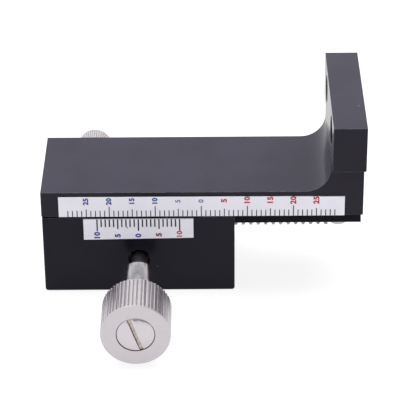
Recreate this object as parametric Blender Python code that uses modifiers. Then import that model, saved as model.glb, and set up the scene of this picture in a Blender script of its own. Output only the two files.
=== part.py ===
# A small linear stage: a dovetail slide driven by a rack and pinion, in metres, +Z up.
# X runs along the travel and +Y away from the drive knob.
# The origin is the middle of the base block's underside.
# Names that end in low and high are the ends of a piece along the axis that it lies on.

import math

import bmesh
import bpy

mm = 0.001

# Gaps between pieces
fit_gap = 0.1 * mm  # round pieces and screws in their holes, and seated faces
slide_gap = 0.15 * mm  # square to the dovetail's flanks
floor_gap = 0.3 * mm  # under the dovetail
carriage_gap = 0.3 * mm  # between the base's top and the plate
film_gap = 0.05 * mm  # adhesive behind the scale strips
cut_overrun = 1.0 * mm  # how far a cutter stands out of what it cuts

# Base block
base_length = 42.0 * mm
base_depth = 25.0 * mm
base_height = 18.7 * mm
base_corner_radius = 0.6 * mm
front_wall = 3.0 * mm  # in front of the pinion's bore
front_hole_radius = 2.5 * mm
mount_hole_end_distance = 5.0 * mm
mount_hole_side_distance = 3.5 * mm
mount_hole_radius = 1.25 * mm
mount_hole_depth = 8.0 * mm

# Dovetail and gib
flank_lean = math.radians(30)
dovetail_height = 4.5 * mm
dovetail_half_width = 7.7 * mm  # at its wide lower end
gib_thickness = 1.2 * mm
gib_end_gap = 0.5 * mm
gib_top_gap = 0.4 * mm
gib_screw_end_distance = 4.0 * mm  # from the base's ends
gib_screw_radius = 1.25 * mm
gib_screw_sink = 0.3 * mm
gib_screw_tip_radius = 0.45 * mm
gib_screw_socket_radius = 0.75 * mm
gib_screw_socket_depth = 1.2 * mm
side_screw_rise = 1.9 * mm  # the rear screws' height over the dovetail's underside

# Carriage bracket
carriage_offset = 13.9 * mm  # how far right of the middle it stands at rest
plate_length = 70.0 * mm
plate_depth = 25.0 * mm
plate_thickness = 6.0 * mm
upright_thickness = 7.2 * mm
upright_rise = 18.25 * mm  # over the plate's top
upright_fillet = 6.0 * mm
head_depth = 36.0 * mm
head_height = 10.4 * mm
head_hole_spacing = 19.0 * mm
head_hole_drop = 4.7 * mm  # under the head's top
head_hole_radius = 1.7 * mm
head_counterbore_radius = 3.1 * mm
head_counterbore_depth = 3.3 * mm

# Rack and pinion
normal_module = 0.5 * mm
helix_angle = math.radians(20)
normal_pressure_angle = math.radians(20)
dedendum_share = 1.25  # of the module
backlash = 0.1 * mm
pinion_teeth = 12
pinion_width = 6.4 * mm
pinion_slices = 8
rack_width = 5.0 * mm
rack_height = 4.5 * mm  # from its back to the tips of its teeth
rack_seat_depth = 0.7 * mm  # let into the dovetail
rack_toothed_length = 56.0 * mm
rack_tab_length = 4.8 * mm
rack_tab_rise = 0.38 * mm  # over the bottoms of the tooth gaps
rack_relief_gap = 0.6 * mm
rack_relief_side = 0.5 * mm
rack_cut_overrun = 0.3 * mm
rack_screw_radius = 1.0 * mm
rack_screw_head_radius = 2.0 * mm
rack_screw_head_height = 1.5 * mm
rack_screw_round = 0.45 * mm
rack_screw_reach = 3.0 * mm  # into the dovetail
rack_screw_slot_width = 0.5 * mm
rack_screw_slot_depth = 0.6 * mm

# Pinion shaft and what carries it
shaft_radius = 1.8 * mm
shaft_seat_radius = 1.5 * mm  # inside the knob
shaft_end_gap = 0.4 * mm
shaft_tail = 0.7 * mm  # behind the clip's groove
bore_gap = 0.3 * mm  # round the pinion's teeth
washer_thickness = 0.4 * mm
washer_inset = 0.25 * mm  # inside the bore's wall
wave_thickness = 0.3 * mm
wave_rise = 0.12 * mm
wave_count = 3
clip_thickness = 0.5 * mm
clip_groove_radius = 1.4 * mm
clip_radius = 3.1 * mm
clip_opening = math.radians(70)
plug_thickness = 1.5 * mm
plug_sink = 0.1 * mm
plug_chamfer = 0.3 * mm
plug_slot_width = 1.0 * mm
plug_slot_depth = 0.6 * mm
bush_screw_radius = 1.0 * mm
bush_screw_place_share = 0.5  # along the front bush
bush_screw_sink = 0.3 * mm
bush_screw_socket_radius = 0.55 * mm
bush_screw_socket_depth = 1.2 * mm

# Drive knob and its screw
hub_reach = 6.9 * mm  # from the base's front to the hub
hub_radius = 3.75 * mm
hub_length = 12.5 * mm
hub_chamfer = 0.2 * mm
knob_radius = 7.4 * mm
knob_length = 10.4 * mm
knob_front_chamfer = 0.28 * mm
knob_back_chamfer = 0.2 * mm
knob_rib_count = 53
knob_groove_depth = 0.26 * mm
knob_groove_width = 0.3 * mm
knob_screw_head_radius = 4.0 * mm
knob_screw_head_height = 2.0 * mm
knob_screw_sink = 0.05 * mm  # the crown of its dome
knob_screw_dome = 0.35 * mm
knob_screw_radius = 0.8 * mm
knob_screw_reach = 6.0 * mm
knob_screw_slot_width = 0.8 * mm
knob_screw_slot_depth = 0.8 * mm
knob_screw_slot_lean = math.radians(25)

# Lock screw and its pad
lock_end_distance = 9.9 * mm  # from the base's left end
lock_thread_radius = 1.5 * mm
lock_stand_off = 1.0 * mm
lock_neck_radius = 2.2 * mm
lock_neck_length = 3.2 * mm
lock_head_radius = 3.5 * mm
lock_head_length = 9.0 * mm
lock_head_chamfer = 0.4 * mm
lock_rib_count = 30
lock_groove_depth = 0.25 * mm
lock_groove_width = 0.25 * mm
lock_pad_length = 1.6 * mm
lock_pad_gap = 0.3 * mm  # to the gib, with the screw slackened

# Scale strips
strip_thickness = 0.3 * mm
ruler_length = 62.1 * mm
ruler_height = 5.0 * mm
ruler_shift = -0.1 * mm  # from the plate's middle
vernier_length = 24.0 * mm
vernier_height = 5.3 * mm
vernier_drop = 0.2 * mm  # under the base's top edge

# Worked out from the sizes above
base_front = -base_depth / 2
base_rear = base_depth / 2
plate_bottom = base_height + carriage_gap
plate_top = plate_bottom + plate_thickness
upright_top = plate_top + upright_rise
head_bottom = upright_top - head_height
dovetail_bottom = plate_bottom - dovetail_height
channel_floor = dovetail_bottom - floor_gap
side_screw_height = dovetail_bottom + side_screw_rise

gib_length = base_length - 2 * gib_end_gap
lock_place = lock_end_distance - base_length / 2

transverse_module = normal_module / math.cos(helix_angle)
transverse_pitch = math.pi * transverse_module
transverse_slope = math.tan(normal_pressure_angle) / math.cos(helix_angle)
pitch_radius = pinion_teeth * transverse_module / 2
pinion_radius = pitch_radius + normal_module
pinion_twist = pinion_width * math.tan(helix_angle) / pitch_radius
# A tooth stands in the rack's gap at rest, and the rack has a tooth at the carriage's middle.
pinion_phase = (carriage_offset + transverse_pitch / 2) / pitch_radius
bore_radius = pinion_radius + bore_gap
bush_radius = bore_radius - fit_gap
bush_hole_radius = shaft_radius + fit_gap
washer_radius = bore_radius - washer_inset

rack_back = dovetail_bottom + rack_seat_depth
rack_tip = rack_back - rack_height
pitch_line = rack_tip + normal_module
rack_root = pitch_line + dedendum_share * normal_module
pinion_height = pitch_line - pitch_radius
rack_tab_bottom = rack_root + rack_tab_rise
rack_half_length = rack_toothed_length / 2 + rack_tab_length
rack_screw_place = (rack_toothed_length + rack_tab_length) / 2
rack_screw_head_high = rack_tab_bottom - fit_gap
rack_screw_head_low = rack_screw_head_high - rack_screw_head_height
rack_screw_tip = rack_back + fit_gap + rack_screw_reach
relief_floor = min(rack_tip, rack_screw_head_low) - rack_relief_gap

washer_low = pinion_width / 2 + fit_gap
washer_high = washer_low + washer_thickness
shaft_rear = base_rear - plug_sink - plug_thickness - shaft_end_gap
clip_groove_high = shaft_rear - shaft_tail
clip_high = clip_groove_high - fit_gap
clip_low = clip_high - clip_thickness
clip_groove_low = clip_low - fit_gap
wave_half = wave_thickness / 2 + wave_rise
wave_middle = clip_groove_low - fit_gap - wave_half
rear_bush_high = wave_middle - wave_half - fit_gap
rear_bush_low = washer_high + fit_gap
front_bush_low = base_front + front_wall + fit_gap
front_bush_high = -washer_high - fit_gap
bush_screw_place = front_bush_low + bush_screw_place_share * (front_bush_high - front_bush_low)

hub_high = base_front - hub_reach
knob_high = hub_high - hub_length
knob_low = knob_high - knob_length
knob_screw_low = knob_low + knob_screw_sink
knob_screw_floor = knob_screw_low + knob_screw_head_height
knob_seat_floor = knob_screw_floor + fit_gap
shaft_front = knob_seat_floor + shaft_end_gap

black = ("black_anodised", (0.018, 0.017, 0.021), 0.42, 0.6)
nickel = ("satin_nickel", (0.72, 0.69, 0.70), 0.28, 1.0)
steel = ("bright_steel", (0.55, 0.55, 0.56), 0.35, 1.0)
dark_steel = ("dark_steel", (0.06, 0.06, 0.065), 0.4, 0.9)
bronze = ("bronze", (0.55, 0.33, 0.14), 0.4, 1.0)
brass = ("brass", (0.78, 0.58, 0.25), 0.35, 1.0)
film = ("white_film", (0.80, 0.79, 0.85), 0.45, 0.0)

smooth_angle = math.radians(30)
weld_distance = 0.0005 * mm
round_steps = 48
small_steps = 28


def clear_scene():
    for item in list(bpy.data.objects):
        bpy.data.objects.remove(item, do_unlink=True)


def new_collection(name):
    made = bpy.data.collections.new(name)
    bpy.context.scene.collection.children.link(made)
    return made


def material_for(finish):
    name, colour, roughness, metallic = finish
    found = bpy.data.materials.get(name)
    if found:
        return found
    made = bpy.data.materials.new(name)
    made.use_nodes = True
    shader = made.node_tree.nodes["Principled BSDF"]
    shader.inputs["Base Color"].default_value = (*colour, 1)
    shader.inputs["Roughness"].default_value = roughness
    shader.inputs["Metallic"].default_value = metallic
    made.diffuse_color = (*colour, 1)
    return made


def add_object(name, mesh, finish, parent):
    """A part of the stage, or a cutter where it has no finish."""
    made = bpy.data.objects.new(name, mesh)
    made.parent = parent
    if finish:
        parts.objects.link(made)
        mesh.materials.append(material_for(finish))
    else:
        cutters.objects.link(made)
        made.hide_render = True
        made.display_type = "WIRE"
    return made


def add_axis(name, place):
    """An empty that a moving body's pieces hang on."""
    made = bpy.data.objects.new(name, None)
    parts.objects.link(made)
    made.location = place
    return made


def mesh_of(helper, axis):
    """The helper's evaluated shape, laid along the axis, as a closed mesh. The helper is removed."""
    bpy.context.scene.collection.objects.link(helper)
    bpy.context.view_layer.update()
    shape = helper.evaluated_get(bpy.context.evaluated_depsgraph_get())
    mesh = bpy.data.meshes.new_from_object(shape)
    bpy.data.objects.remove(helper)
    solid = bmesh.new()
    solid.from_mesh(mesh)
    mesh.materials.clear()
    bmesh.ops.remove_doubles(solid, verts=solid.verts, dist=weld_distance)
    finish_mesh(solid, mesh, axis)
    return mesh


def laid_along(axis, across, up, along):
    """X, Y and Z of a point that a helper gives as across, up and along the axis."""
    if axis == "X":
        return (along, across, up)
    if axis == "Y":
        return (across, along, up)
    return (across, up, along)


def finish_mesh(solid, mesh, axis):
    """Lays the solid along the axis and writes it to the mesh."""
    for vertex in solid.verts:
        vertex.co = laid_along(axis, *vertex.co)
    solid.normal_update()
    bmesh.ops.recalc_face_normals(solid, faces=solid.faces)
    solid.to_mesh(mesh)
    solid.free()
    mesh.shade_smooth()
    mesh.set_sharp_from_angle(angle=smooth_angle)


def box(name, low, high, finish=None, parent=None):
    solid = bmesh.new()
    bmesh.ops.create_cube(solid, size=1)
    for vertex in solid.verts:
        vertex.co = [b if share > 0 else a for a, b, share in zip(low, high, vertex.co)]
    mesh = bpy.data.meshes.new(name)
    solid.to_mesh(mesh)
    solid.free()
    return add_object(name, mesh, finish, parent)


def extruded(name, outlines, low, high, axis, finish=None, parent=None):
    """Flat outlines in the plane square to the axis, from low to high along it."""
    curve = bpy.data.curves.new(name, "CURVE")
    curve.dimensions = "2D"
    curve.fill_mode = "BOTH"
    curve.extrude = (high - low) / 2
    for outline in outlines:
        spline = curve.splines.new("POLY")
        spline.points.add(len(outline) - 1)
        for point, (across, up) in zip(spline.points, outline):
            point.co = (across, up, 0, 1)
        spline.use_cyclic_u = True
    mesh = mesh_of(bpy.data.objects.new(name, curve), axis)
    along = "XYZ".index(axis)
    for vertex in mesh.vertices:
        vertex.co[along] = high if vertex.co[along] > 0 else low
    return add_object(name, mesh, finish, parent)


def turned(name, profile, axis, finish=None, parent=None, ring=False, steps=round_steps):
    """A profile of (radius, place along the axis), down its outer side from its high end."""
    line = bpy.data.meshes.new(name)
    edges = [(i, i + 1) for i in range(len(profile) - 1)]
    if ring:
        edges.append((len(profile) - 1, 0))
    line.from_pydata([(radius, 0, along) for radius, along in profile], edges, [])
    helper = bpy.data.objects.new(name, line)
    screw = helper.modifiers.new("Turn", "SCREW")
    screw.steps = steps
    screw.render_steps = steps
    screw.use_merge_vertices = True
    screw.merge_threshold = weld_distance
    return add_object(name, mesh_of(helper, axis), finish, parent)


def drilled(name, radius, low, high, axis, parent=None, steps=small_steps):
    """A round cutter, or a six-sided one with six steps."""
    profile = [(0, high), (radius, high), (radius, low), (0, low)]
    return turned(name, profile, axis, parent=parent, steps=steps)


def modify(target, operation, others):
    for other in others:
        boolean = target.modifiers.new(other.name, "BOOLEAN")
        boolean.operation = operation
        boolean.object = other


def cut(target, *others):
    modify(target, "DIFFERENCE", others)


def fuse(target, *others):
    modify(target, "UNION", others)


def keep_closed(target):
    """For a target that shares faces with its operands, where the default solver leaves edges open."""
    for boolean in target.modifiers:
        boolean.solver = "MANIFOLD"


def flank(offset, height):
    """How far from the middle plane the dovetail's flank stands, moved out by the offset."""
    lean_back = (height - dovetail_bottom) * math.tan(flank_lean)
    return dovetail_half_width - lean_back + offset / math.cos(flank_lean)


def arc(centre, radius, start, end, steps):
    """Points on an arc, with angles from the outline's across axis towards its up axis."""
    angles = [start + (end - start) * i / steps for i in range(steps + 1)]
    return [(centre[0] + radius * math.cos(a), centre[1] + radius * math.sin(a)) for a in angles]


def dome(radius, edge, crown, steps):
    """Profile points of a shallow dome, from its edge to its crown."""
    bend = (radius**2 + (edge - crown) ** 2) / (2 * abs(edge - crown))
    side = 1 if crown > edge else -1
    radii = [radius * (1 - i / steps) for i in range(steps + 1)]
    return [(r, crown - side * (bend - math.sqrt(bend**2 - r**2))) for r in radii]


def slot_outline(half_length, half_width, lean):
    """A long rectangle whose upper end leans left of upright."""
    corners = [(-half_width, -half_length), (half_width, -half_length)]
    corners += [(half_width, half_length), (-half_width, half_length)]
    turn = [(math.cos(lean), -math.sin(lean)), (math.sin(lean), math.cos(lean))]
    return [tuple(row[0] * a + row[1] * b for row in turn) for a, b in corners]


def groove_outlines(radius, depth, width, count):
    """The grooves of a straight knurl, which widen outwards from their floors."""
    outlines = []
    outside = radius + depth
    for number in range(count):
        middle = 2 * math.pi * number / count
        floor = width / 2 / radius
        mouth = width / radius
        corners = [(radius - depth, -floor), (radius - depth, floor), (outside, mouth), (outside, -mouth)]
        outlines.append([(r * math.sin(middle + a), r * math.cos(middle + a)) for r, a in corners])
    return outlines


def add_base():
    left = -base_length / 2
    right = base_length / 2
    radius = base_corner_radius
    outline = [(left, base_height)]
    outline += arc((left + radius, radius), radius, math.pi, 1.5 * math.pi, 4)
    outline += arc((right - radius, radius), radius, 1.5 * math.pi, 2 * math.pi, 4)
    outline += [(right, base_height)]
    base = extruded("base_block", [outline], base_front, base_rear, "Y", black)
    cut(base, cut_channel(), cut_relief())
    cut(base, *cut_pinion_bore(), *cut_side_holes(), *cut_mount_holes())


def cut_channel():
    top = base_height + cut_overrun
    rear_offset = 2 * slide_gap + gib_thickness
    corners = [(-flank(slide_gap, channel_floor), channel_floor)]
    corners += [(flank(rear_offset, channel_floor), channel_floor)]
    corners += [(flank(rear_offset, top), top), (-flank(slide_gap, top), top)]
    reach = base_length / 2 + cut_overrun
    return extruded("channel", [corners], -reach, reach, "X")


def cut_relief():
    reach = base_length / 2 + cut_overrun
    side = max(rack_width / 2, rack_screw_head_radius) + rack_relief_side
    return box("rack_relief", (-reach, -side, relief_floor), (reach, side, channel_floor + cut_overrun))


def cut_pinion_bore():
    bore = drilled("pinion_bore", bore_radius, base_front + front_wall, base_rear + cut_overrun, "Y",
                   steps=round_steps)
    hole = drilled("front_hole", front_hole_radius, base_front - cut_overrun,
                   base_front + front_wall + cut_overrun, "Y")
    bush_screw_hole = drilled("bush_screw_hole", bush_screw_radius + fit_gap, -cut_overrun, pinion_height,
                              "Z")
    bush_screw_hole.location.y = bush_screw_place
    for cutter in (bore, hole):
        cutter.location.z = pinion_height
    return bore, hole, bush_screw_hole


def cut_side_holes():
    """The gib screws' and the lock screw's holes, through the rear wall into the channel."""
    low = flank(0, base_height)
    high = base_rear + cut_overrun
    holes = []
    for number, place in enumerate(gib_screw_places()):
        hole = drilled(f"gib_screw_hole_{number}", gib_screw_radius + fit_gap, low, high, "Y")
        hole.location.x = place
        holes.append(hole)
    lock_hole = drilled("lock_hole", lock_thread_radius + fit_gap, low, high, "Y")
    lock_hole.location.x = lock_place
    holes.append(lock_hole)
    for hole in holes:
        hole.location.z = side_screw_height
    return holes


def cut_mount_holes():
    holes = []
    for across in (-1, 1):
        for along in (-1, 1):
            name = f"mount_hole_{len(holes)}"
            hole = drilled(name, mount_hole_radius, -cut_overrun, mount_hole_depth, "Z")
            hole.location.x = across * (base_length / 2 - mount_hole_end_distance)
            hole.location.y = along * (base_depth / 2 - mount_hole_side_distance)
            holes.append(hole)
    return holes


def gib_screw_places():
    outermost = base_length / 2 - gib_screw_end_distance
    return (-outermost, 0, outermost)


def add_gib():
    low = channel_floor + fit_gap
    high = base_height - gib_top_gap
    inner = slide_gap
    outer = slide_gap + gib_thickness
    corners = [(flank(inner, low), low), (flank(outer, low), low)]
    corners += [(flank(outer, high), high), (flank(inner, high), high)]
    extruded("gib", [corners], -gib_length / 2, gib_length / 2, "X", steel)


def add_gib_screws():
    tip = flank(slide_gap + gib_thickness, side_screw_height) + fit_gap
    shoulder = tip + gib_screw_radius - gib_screw_tip_radius
    head = base_rear - gib_screw_sink
    profile = [(0, head), (gib_screw_radius, head), (gib_screw_radius, shoulder + gib_screw_tip_radius)]
    profile += [(gib_screw_tip_radius, tip + gib_screw_tip_radius), (0, tip + gib_screw_tip_radius)]
    for place, side in zip(gib_screw_places(), ("left", "middle", "right")):
        screw = turned("gib_screw_" + side, profile, "Y", dark_steel, steps=small_steps)
        socket = drilled("gib_socket_" + side, gib_screw_socket_radius, head - gib_screw_socket_depth,
                         head + cut_overrun, "Y", steps=6)
        for piece in (screw, socket):
            piece.location.x = place
            piece.location.z = side_screw_height
        cut(screw, socket)


def add_bracket():
    left = -plate_length / 2
    right = plate_length / 2
    inner = right - upright_thickness
    half = plate_depth / 2
    outline = [(left, plate_bottom), (right - upright_thickness / 2, plate_bottom)]
    outline += [(right - upright_thickness / 2, plate_top + upright_fillet)]
    centre = (inner - upright_fillet, plate_top + upright_fillet)
    outline += arc(centre, upright_fillet, 0, -math.pi / 2, 12)
    outline += [(left, plate_top)]
    bracket = extruded("carriage_bracket", [outline], -half, half, "Y", black, carriage)

    head_half = head_depth / 2
    upright = [(-half, plate_bottom), (half, plate_bottom), (half, head_bottom), (head_half, head_bottom)]
    upright += [(head_half, upright_top), (-head_half, upright_top)]
    upright += [(-head_half, head_bottom), (-half, head_bottom)]
    fuse(bracket, extruded("upright", [upright], inner, right, "X", parent=carriage))

    neck = flank(0, plate_bottom)
    foot = flank(0, dovetail_bottom)
    middle = (plate_bottom + plate_top) / 2
    dovetail = [(-foot, dovetail_bottom), (foot, dovetail_bottom), (neck, plate_bottom), (neck, middle)]
    dovetail += [(-neck, middle), (-neck, plate_bottom)]
    fuse(bracket, extruded("dovetail", [dovetail], left, right, "X", parent=carriage))
    cut(bracket, *cut_rack_seat(), *cut_head_holes())
    keep_closed(bracket)


def cut_rack_seat():
    reach = plate_length / 2 + cut_overrun
    side = rack_width / 2 + fit_gap
    ceiling = rack_back + fit_gap
    cutters_made = [box("rack_seat", (-reach, -side, dovetail_bottom - cut_overrun), (reach, side, ceiling),
                        parent=carriage)]
    for place in (-rack_screw_place, rack_screw_place):
        name = f"rack_screw_hole_{len(cutters_made)}"
        hole = drilled(name, rack_screw_radius + fit_gap, dovetail_bottom, rack_screw_tip + fit_gap, "Z",
                       carriage)
        hole.location.x = place
        cutters_made.append(hole)
    return cutters_made


def cut_head_holes():
    """Through holes square to the head, counterbored on its inner side."""
    right = plate_length / 2
    inner = right - upright_thickness
    holes = []
    for place in (-head_hole_spacing / 2, head_hole_spacing / 2):
        centre = (place, upright_top - head_hole_drop)
        whole = [arc(centre, head_hole_radius, 0, 2 * math.pi, small_steps)[:-1]]
        wide = [arc(centre, head_counterbore_radius, 0, 2 * math.pi, small_steps)[:-1]]
        holes.append(extruded("head_hole", whole, inner - cut_overrun, right + cut_overrun, "X",
                              parent=carriage))
        holes.append(extruded("head_counterbore", wide, inner - cut_overrun, inner + head_counterbore_depth,
                              "X", parent=carriage))
    return holes


def add_rack():
    half = rack_toothed_length / 2
    end = rack_half_length
    outline = [(-end, rack_tab_bottom), (-half, rack_tab_bottom), (-half, rack_tip), (half, rack_tip)]
    outline += [(half, rack_tab_bottom), (end, rack_tab_bottom), (end, rack_back), (-end, rack_back)]
    rack = extruded("rack", [outline], -rack_width / 2, rack_width / 2, "Y", steel, carriage)
    cut(rack, cut_tooth_gaps())
    for place in (-rack_screw_place, rack_screw_place):
        hole = drilled("rack_hole", rack_screw_radius + fit_gap, rack_tab_bottom - cut_overrun,
                       rack_back + cut_overrun, "Z", carriage)
        hole.location.x = place
        cut(rack, hole)
    keep_closed(rack)


def cut_tooth_gaps():
    """The helical gaps between the rack's teeth, for the whole toothed length."""
    low = rack_tip - rack_cut_overrun
    wide = transverse_pitch / 4 + (pitch_line - low) * transverse_slope
    narrow = transverse_pitch / 4 - (rack_root - pitch_line) * transverse_slope
    count = 2 * round(rack_toothed_length / 2 / transverse_pitch)
    outlines = []
    for number in range(count):
        middle = (number - (count - 1) / 2) * transverse_pitch
        corners = [(middle - wide, low), (middle + wide, low)]
        corners += [(middle + narrow, rack_root), (middle - narrow, rack_root)]
        outlines.append(corners)
    half = rack_width / 2 + cut_overrun
    gaps = extruded("tooth_gaps", outlines, -half, half, "Y", parent=carriage)
    for vertex in gaps.data.vertices:
        vertex.co.x += vertex.co.y * math.tan(helix_angle)
    return gaps


def add_rack_screws():
    low = rack_screw_head_low
    round_off = rack_screw_round
    profile = [(0, rack_screw_tip), (rack_screw_radius, rack_screw_tip)]
    profile += [(rack_screw_radius, rack_screw_head_high), (rack_screw_head_radius, rack_screw_head_high)]
    centre = (rack_screw_head_radius - round_off, low + round_off)
    profile += arc(centre, round_off, 0, -math.pi / 2, 3)
    profile += [(0, low)]
    for place, side in ((-rack_screw_place, "left"), (rack_screw_place, "right")):
        screw = turned("rack_screw_" + side, profile, "Z", nickel, carriage, steps=small_steps)
        slot = slot_outline(rack_screw_head_radius + cut_overrun, rack_screw_slot_width / 2, 0)
        driver_slot = extruded("rack_slot_" + side, [slot], low - cut_overrun, low + rack_screw_slot_depth,
                               "Z", parent=carriage)
        for piece in (screw, driver_slot):
            piece.location.x = place
        cut(screw, driver_slot)


def add_strips():
    front = -plate_depth / 2 - film_gap
    left = ruler_shift - ruler_length / 2
    low = (left, front - strip_thickness, plate_bottom)
    high = (left + ruler_length, front, plate_bottom + ruler_height)
    box("ruler_strip", low, high, film, carriage)
    front = base_front - film_gap
    top = base_height - vernier_drop
    low = (-vernier_length / 2, front - strip_thickness, top - vernier_height)
    high = (vernier_length / 2, front, top)
    box("vernier_strip", low, high, film)


def clear_radius(angle):
    """How far out the pinion is left whole by the rack's teeth as it rolls past them.

    The angle is from a tooth's middle. This gives the tooth its flank and its undercut root."""
    steps = 60
    span = 3 * math.pi / pinion_teeth
    rolls = [span * (i / steps - 1) for i in range(2 * steps + 1)]
    tip = pitch_radius - normal_module
    least = pitch_radius - dedendum_share * normal_module
    lowest = pinion_radius
    for roll in rolls:
        for step in range(steps + 1):
            radius = least + (lowest - least) * step / steps
            along = radius * math.sin(angle + roll) - pitch_radius * roll
            height = radius * math.cos(angle + roll)
            from_gap = abs((along + transverse_pitch / 2) % transverse_pitch - transverse_pitch / 2)
            gap_half = transverse_pitch / 4 - (height - pitch_radius) * transverse_slope - backlash / 2
            if height > tip and from_gap > gap_half:
                lowest = radius
                break
    return lowest


def add_pinion_shaft():
    shoulder = hub_high + fit_gap
    screw_hole = knob_screw_radius + fit_gap
    screw_hole_high = knob_seat_floor + knob_screw_reach + shaft_end_gap
    profile = [(0, shaft_rear), (shaft_radius, shaft_rear), (shaft_radius, clip_groove_high)]
    profile += [(clip_groove_radius, clip_groove_high), (clip_groove_radius, clip_groove_low)]
    profile += [(shaft_radius, clip_groove_low), (shaft_radius, shoulder), (shaft_seat_radius, shoulder)]
    profile += [(shaft_seat_radius, shaft_front), (screw_hole, shaft_front), (screw_hole, screw_hole_high)]
    profile += [(0, screw_hole_high)]
    shaft = turned("pinion_shaft", profile, "Y", steel, pinion_axis)
    fuse(shaft, pinion_teeth_solid())


def pinion_teeth_solid():
    """The toothed outline, carried along the shaft while it turns with the helix."""
    half_tooth_shares = (0.14, 0.26, 0.38, 0.48, 0.56, 0.66, 0.82, 1.0)
    half_angle = math.pi / pinion_teeth
    radii = {share: clear_radius(share * half_angle) for share in half_tooth_shares}
    shares = [-share for share in reversed(half_tooth_shares[:-1])] + list(half_tooth_shares)
    solid = bmesh.new()
    corners = []
    for tooth in range(pinion_teeth):
        for share in shares:
            angle = pinion_phase - pinion_twist / 2 + (2 * tooth + share) * half_angle
            radius = radii[abs(share)]
            corners.append(solid.verts.new((radius * math.sin(angle), radius * math.cos(angle), 0)))
    face = solid.faces.new(corners)
    bmesh.ops.translate(solid, vec=(0, 0, -pinion_width / 2), verts=solid.verts)
    step = pinion_width / pinion_slices
    bmesh.ops.spin(solid, geom=[face], axis=(0, 0, -1), dvec=(0, 0, step), angle=pinion_twist,
                   steps=pinion_slices)
    mesh = bpy.data.meshes.new("pinion_teeth")
    finish_mesh(solid, mesh, "Y")
    return add_object("pinion_teeth", mesh, None, pinion_axis)


def add_bushes():
    for name, low, high in (("front_bush", front_bush_low, front_bush_high),
                            ("rear_bush", rear_bush_low, rear_bush_high)):
        add_ring(name, bush_hole_radius, bush_radius, low, high, bronze)
    add_ring("thrust_washer_front", bush_hole_radius, washer_radius, -washer_high, -washer_low, steel)
    add_ring("thrust_washer_rear", bush_hole_radius, washer_radius, washer_low, washer_high, steel)
    wave_low = wave_middle - wave_thickness / 2
    wave_high = wave_low + wave_thickness
    wave = add_ring("wave_washer", bush_hole_radius, washer_radius, wave_low, wave_high, steel)
    for vertex in wave.data.vertices:
        vertex.co.y += wave_rise * math.cos(wave_count * math.atan2(vertex.co.z, vertex.co.x))


def add_ring(name, inner, outer, low, high, finish):
    profile = [(inner, high), (outer, high), (outer, low), (inner, low)]
    made = turned(name, profile, "Y", finish, ring=True)
    made.location.z = pinion_height
    return made


def add_shaft_clip():
    start = clip_opening / 2
    end = 2 * math.pi - start
    outline = arc((0, 0), clip_radius, start, end, 20)
    outline += arc((0, 0), clip_groove_radius + fit_gap, end, start, 16)
    extruded("shaft_clip", [outline], clip_low, clip_high, "Y", dark_steel, pinion_axis)


def add_bore_plug():
    high = base_rear - plug_sink
    low = high - plug_thickness
    profile = [(0, high), (bush_radius - plug_chamfer, high), (bush_radius, high - plug_chamfer)]
    profile += [(bush_radius, low), (0, low)]
    plug = turned("bore_plug", profile, "Y", black)
    slot = extruded("plug_slot", [slot_outline(bore_radius, plug_slot_width / 2, 0)],
                    high - plug_slot_depth, high + cut_overrun, "Y")
    plug.location.z = pinion_height
    slot.location.z = pinion_height
    cut(plug, slot)


def add_bush_screw():
    low = bush_screw_sink
    high = pinion_height - bush_radius - fit_gap
    profile = [(0, high), (bush_screw_radius, high), (bush_screw_radius, low), (0, low)]
    screw = turned("bush_screw", profile, "Z", dark_steel, steps=small_steps)
    socket = drilled("bush_socket", bush_screw_socket_radius, low - cut_overrun,
                     low + bush_screw_socket_depth, "Z", steps=6)
    screw.location.y = bush_screw_place
    socket.location.y = bush_screw_place
    cut(screw, socket)


def add_drive_knob():
    front = knob_front_chamfer
    back = knob_back_chamfer
    bore = shaft_seat_radius + fit_gap
    seat = knob_screw_head_radius + fit_gap
    profile = [(hub_radius - hub_chamfer, hub_high), (hub_radius, hub_high - hub_chamfer)]
    profile += [(hub_radius, knob_high)]
    profile += [(knob_radius - back, knob_high), (knob_radius, knob_high - back)]
    profile += [(knob_radius, knob_low + front), (knob_radius - front, knob_low), (seat, knob_low)]
    profile += [(seat, knob_seat_floor), (bore, knob_seat_floor), (bore, hub_high)]
    knob = turned("drive_knob", profile, "Y", nickel, pinion_axis, ring=True, steps=2 * knob_rib_count)
    outlines = groove_outlines(knob_radius, knob_groove_depth, knob_groove_width, knob_rib_count)
    cut(knob, extruded("knob_grooves", outlines, knob_low - cut_overrun, knob_high + cut_overrun, "Y",
                       parent=pinion_axis))


def add_knob_screw():
    head = knob_screw_head_radius
    tip = knob_seat_floor + knob_screw_reach
    profile = [(0, tip), (knob_screw_radius, tip), (knob_screw_radius, knob_screw_floor)]
    profile += [(head, knob_screw_floor)]
    profile += dome(head, knob_screw_low + knob_screw_dome, knob_screw_low, 6)
    screw = turned("knob_screw", profile, "Y", nickel, pinion_axis)
    slot = slot_outline(head + cut_overrun, knob_screw_slot_width / 2, knob_screw_slot_lean)
    cut(screw, extruded("knob_slot", [slot], knob_screw_low - cut_overrun,
                        knob_screw_low + knob_screw_slot_depth, "Y", parent=pinion_axis))


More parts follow.
